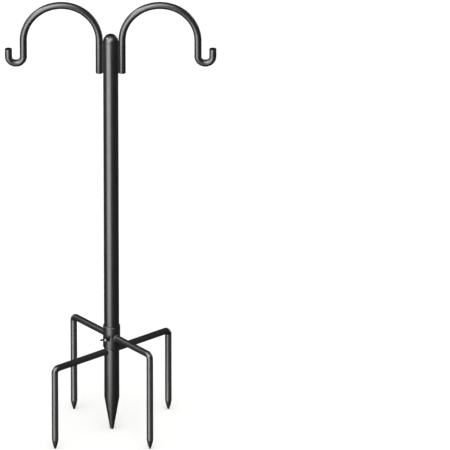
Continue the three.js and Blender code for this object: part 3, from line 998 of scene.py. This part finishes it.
class PLANTSTAND_OT_wing_screw(bpy.types.Operator):
    """Builds the wing screw: a threaded shank and a cast head with two ears"""

    bl_idname = "plant_stand.wing_screw"
    bl_label = "Wing screw"

    def execute(self, context):
        self.shank(context)
        self.head(context)
        return {"FINISHED"}

    def shank(self, context):
        settings = context.scene.plant_stand
        screw, tube = settings.screw, settings.tube
        start = TUBE_RADIUS + tube.seat
        end = COLLAR_RADIUS + settings.collar.boss_height + tube.seat + screw.bite
        crest = screw.diameter / 2
        depth = 0.6 * screw.pitch
        sides, rows_per_turn = 48, 12
        groove_slope, lead_start, lead_depth = 2.6, 0.15, 0.8 * MM
        rows = round((end - start) / screw.pitch * rows_per_turn)
        bm = bmesh.new()
        rings = [[bm.verts.new((0, 0, start))]]
        for row in range(rows + 1):
            height = start + (end - start) * row / rows
            turns = (height - start) / screw.pitch
            lead = min(1.0, turns + lead_start)
            ring = []
            for side in range(sides):
                phase = (turns - side / sides) % 1.0
                groove = 1 - min(1.0, groove_slope * abs(phase - 0.5))
                radius = crest - depth * groove - (1 - lead) * lead_depth
                turn = 2 * math.pi * side / sides
                place = (radius * math.cos(turn), radius * math.sin(turn), height)
                ring.append(bm.verts.new(place))
            rings.append(ring)
        rings.append([bm.verts.new((0, 0, end))])
        for lower, upper in zip(rings, rings[1:]):
            join_rings(bm, lower, upper)
        finish_piece(bm, "wing_screw_shank", "bare_steel", screw_place() @ outwards())

    def head(self, context):
        settings = context.scene.plant_stand
        screw, tube = settings.screw, settings.tube
        hub_edge = 0.8 * MM
        bottom = COLLAR_RADIUS + settings.collar.boss_height + tube.seat
        end = bottom + screw.hub_length
        hole = screw.diameter / 2 + screw.clearance
        hub = hole + screw.hub_wall
        hole_end = bottom + screw.bite + tube.seat
        face = end - screw.stud_height
        stud = screw.stud / 2
        bore = [(0, hole_end), (hole, hole_end), (hole, bottom)]
        corners = [*bore, (hub, bottom), (hub, face), (stud, face), (stud, end), (0, end)]
        bm = bmesh.new()
        add_turned(bm, softened(corners, hub_edge), settings.detail.hub_sides)
        bm.transform(outwards())
        outline = self.ear_outline(screw, hub, bottom)
        for flip in (1, -1):
            layers = [
                [bm.verts.new((x, flip * y, z)) for x, y in outline]
                for z in (-screw.wing_thickness / 2, screw.wing_thickness / 2)
            ]
            join_rings(bm, *layers)
            bm.faces.new(layers[0])
            bm.faces.new(layers[1])
        place = screw_place() @ Matrix.Rotation(screw.roll, 4, "X")
        finish_piece(bm, "wing_screw_head", "black_zinc", place, modify=self.cast)

    @staticmethod
    def ear_outline(screw, hub, bottom):
        """One ear, drawn outwards from inside the hub's wall and flared away from the collar."""
        side_steps, top_steps = 8, 10
        above_boss = 0.6 * MM
        half = screw.wing_span / 2
        tip = screw.wing_tip / 2
        root = bottom + above_boss
        root_end = root + screw.wing_root
        flared = root + screw.wing_flare
        inside = hub - screw.hub_wall / 2
        low, high = (root, hub), (root_end, hub)
        heel = (flared, half - tip / 2)
        toe = (flared + screw.wing_tip, half - tip / 2)
        points = [(root, inside), low]
        points += quadratic(low, (root, half - tip), heel, side_steps)
        points += quadratic(heel, (flared + tip, half + tip / 2), toe, top_steps)
        points += quadratic(toe, (flared + tip, half - screw.wing_tip), high, side_steps)
        points.append((root_end, inside))
        return points

    @staticmethod
    def cast(piece):
        """Melts hub and ears into one casting with rounded edges."""
        melt = piece.modifiers.new("melt", "REMESH")
        melt.mode = "VOXEL"
        melt.voxel_size = 0.22 * MM
        ease = piece.modifiers.new("ease", "SMOOTH")
        ease.factor = 0.5
        ease.iterations = 5
        apply_modifiers(piece)


# ---------- stage


def towards(azimuth, elevation):
    """Direction seen from the stand: azimuth 0 is the front and grows to the right."""
    level = math.cos(elevation)
    return Vector((level * math.sin(azimuth), -level * math.cos(azimuth), math.sin(elevation)))


class PLANTSTAND_OT_stage(bpy.types.Operator):
    """Sets the pale floor, the softboxes, the surround and the camera"""

    bl_idname = "plant_stand.stage"
    bl_label = "Stage"

    # A softbox has azimuth and elevation in degrees, width and height in metres, and watts. The
    # two rear ones only show in the coat from the sides and from behind. The floor is in metres.
    softboxes = {
        "key_softbox": (-34, 8, 9.5, 17.0, 4800),
        "front_softbox": (-8, 54, 8.0, 7.0, 1500),
        "side_softbox": (-84, 43, 3.0, 3.0, 760),
        "rear_left_softbox": (-138, 2, 5.0, 5.0, 240),
        "rear_right_softbox": (135, 2, 6.0, 5.0, 380),
    }
    softbox_distance = 9.0
    floor_radii = (120, 10, 2, 0)
    floor_sides = 64
    backdrop_strength = 1.4

    def execute(self, context):
        self.floor(context)
        self.lights(context)
        self.world(context)
        self.camera(context)
        return {"FINISHED"}

    def floor(self, context):
        bm = bmesh.new()
        add_turned(bm, [(radius, 0) for radius in self.floor_radii], self.floor_sides)
        mesh = bpy.data.meshes.new("studio_floor")
        bm.to_mesh(mesh)
        bm.free()
        material, tree = new_material("matt_white_paint")
        tone = context.scene.plant_stand.stage.floor
        shader = add_node(tree, "BsdfDiffuse", {"Color": tone, "Roughness": 0.8})
        add_node(tree, "OutputMaterial", {"Surface": shader.outputs["BSDF"]})
        mesh.materials.append(material)
        floor = bpy.data.objects.new("studio_floor", mesh)
        context.scene.collection.objects.link(floor)
        # The coat would mirror a white floor in every upright bar, so it mirrors the dark surround.
        floor.visible_glossy = False
        floor.visible_shadow = False

    def lights(self, context):
        centre = Vector((0, 0, HOOK_TOP / 2))
        for name, (azimuth, elevation, width, height, power) in self.softboxes.items():
            light = bpy.data.lights.new(name, "AREA")
            light.shape = "RECTANGLE"
            light.size = width
            light.size_y = height
            light.energy = power
            way = towards(math.radians(azimuth), math.radians(elevation))
            place = Matrix.Translation(centre + self.softbox_distance * way)
            lamp = bpy.data.objects.new(name, light)
            lamp.matrix_world = place @ way.to_track_quat("Z", "Y").to_matrix().to_4x4()
            lamp.visible_camera = False
            lamp.visible_diffuse = False
            context.scene.collection.objects.link(lamp)

    def world(self, context):
        stage = context.scene.plant_stand.stage
        world = bpy.data.worlds.new("studio")
        world.use_nodes = True
        tree = world.node_tree
        tree.nodes.clear()
        pale = add_node(tree, "Background", {"Color": stage.floor, "Strength": self.backdrop_strength})
        dark = add_node(tree, "Background", {"Color": stage.surround})
        path = add_node(tree, "LightPath")
        mixed = add_node(
            tree,
            "MixShader",
            {0: path.outputs["Is Glossy Ray"], 1: pale.outputs[0], 2: dark.outputs[0]},
        )
        add_node(tree, "OutputWorld", {"Surface": mixed.outputs[0]})
        context.scene.world = world

    def camera(self, context):
        stage = context.scene.plant_stand.stage
        aim = Vector((stage.aim_right, 0, stage.aim_height))
        back = towards(0, stage.camera_elevation)
        data = bpy.data.cameras.new("camera")
        data.lens = stage.camera_lens
        data.clip_end = 2 * stage.camera_distance + max(self.floor_radii)
        camera = bpy.data.objects.new("camera", data)
        camera.location = aim + stage.camera_distance * back
        camera.rotation_euler = back.to_track_quat("Z", "Y").to_euler()
        context.scene.collection.objects.link(camera)
        context.scene.camera = camera
        context.scene.view_settings.view_transform = "Standard"


# ---------- panel and registration


OPERATORS = (
    PLANTSTAND_OT_stage,
    PLANTSTAND_OT_pole,
    PLANTSTAND_OT_hooks,
    PLANTSTAND_OT_hook_welds,
    PLANTSTAND_OT_spike,
    PLANTSTAND_OT_coupling,
    PLANTSTAND_OT_prongs,
    PLANTSTAND_OT_prong_welds,
    PLANTSTAND_OT_collar,
    PLANTSTAND_OT_wing_screw,
)


class PLANTSTAND_PT_panel(bpy.types.Panel):
    """Lists the stand's pieces and their settings"""

    bl_idname = "PLANTSTAND_PT_panel"
    bl_label = "Plant stand"
    bl_space_type = "VIEW_3D"
    bl_region_type = "UI"
    bl_category = "Plant stand"

    def draw(self, context):
        for operator in OPERATORS:
            self.layout.operator(operator.bl_idname)
        settings = context.scene.plant_stand
        for group_name in settings.bl_rna.properties.keys():
            group = getattr(settings, group_name)
            if not isinstance(group, bpy.types.PropertyGroup):
                continue
            box = self.layout.box()
            box.label(text=group_name.replace("_", " ").capitalize())
            for value_name in group.bl_rna.properties.keys():
                if value_name not in ("rna_type", "name"):
                    box.prop(group, value_name)


CLASSES = (
    PLANTSTAND_PG_tube,
    PLANTSTAND_PG_spike,
    PLANTSTAND_PG_hook,
    PLANTSTAND_PG_prong,
    PLANTSTAND_PG_weld,
    PLANTSTAND_PG_collar,
    PLANTSTAND_PG_screw,
    PLANTSTAND_PG_finish,
    PLANTSTAND_PG_stage,
    PLANTSTAND_PG_detail,
    PLANTSTAND_PG_all,
    *OPERATORS,
    PLANTSTAND_PT_panel,
)


def register():
    for cls in CLASSES:
        bpy.utils.register_class(cls)
    bpy.types.Scene.plant_stand = PointerProperty(type=PLANTSTAND_PG_all)


def unregister():
    del bpy.types.Scene.plant_stand
    for cls in reversed(CLASSES):
        bpy.utils.unregister_class(cls)


def main():
    register()
    bpy.ops.plant_stand.stage()
    bpy.ops.plant_stand.pole()
    bpy.ops.plant_stand.hooks()
    bpy.ops.plant_stand.hook_welds()
    bpy.ops.plant_stand.spike()
    bpy.ops.plant_stand.coupling()
    bpy.ops.plant_stand.prongs()
    bpy.ops.plant_stand.prong_welds()
    bpy.ops.plant_stand.collar()
    bpy.ops.plant_stand.wing_screw()


if __name__ == "__main__":
    main()
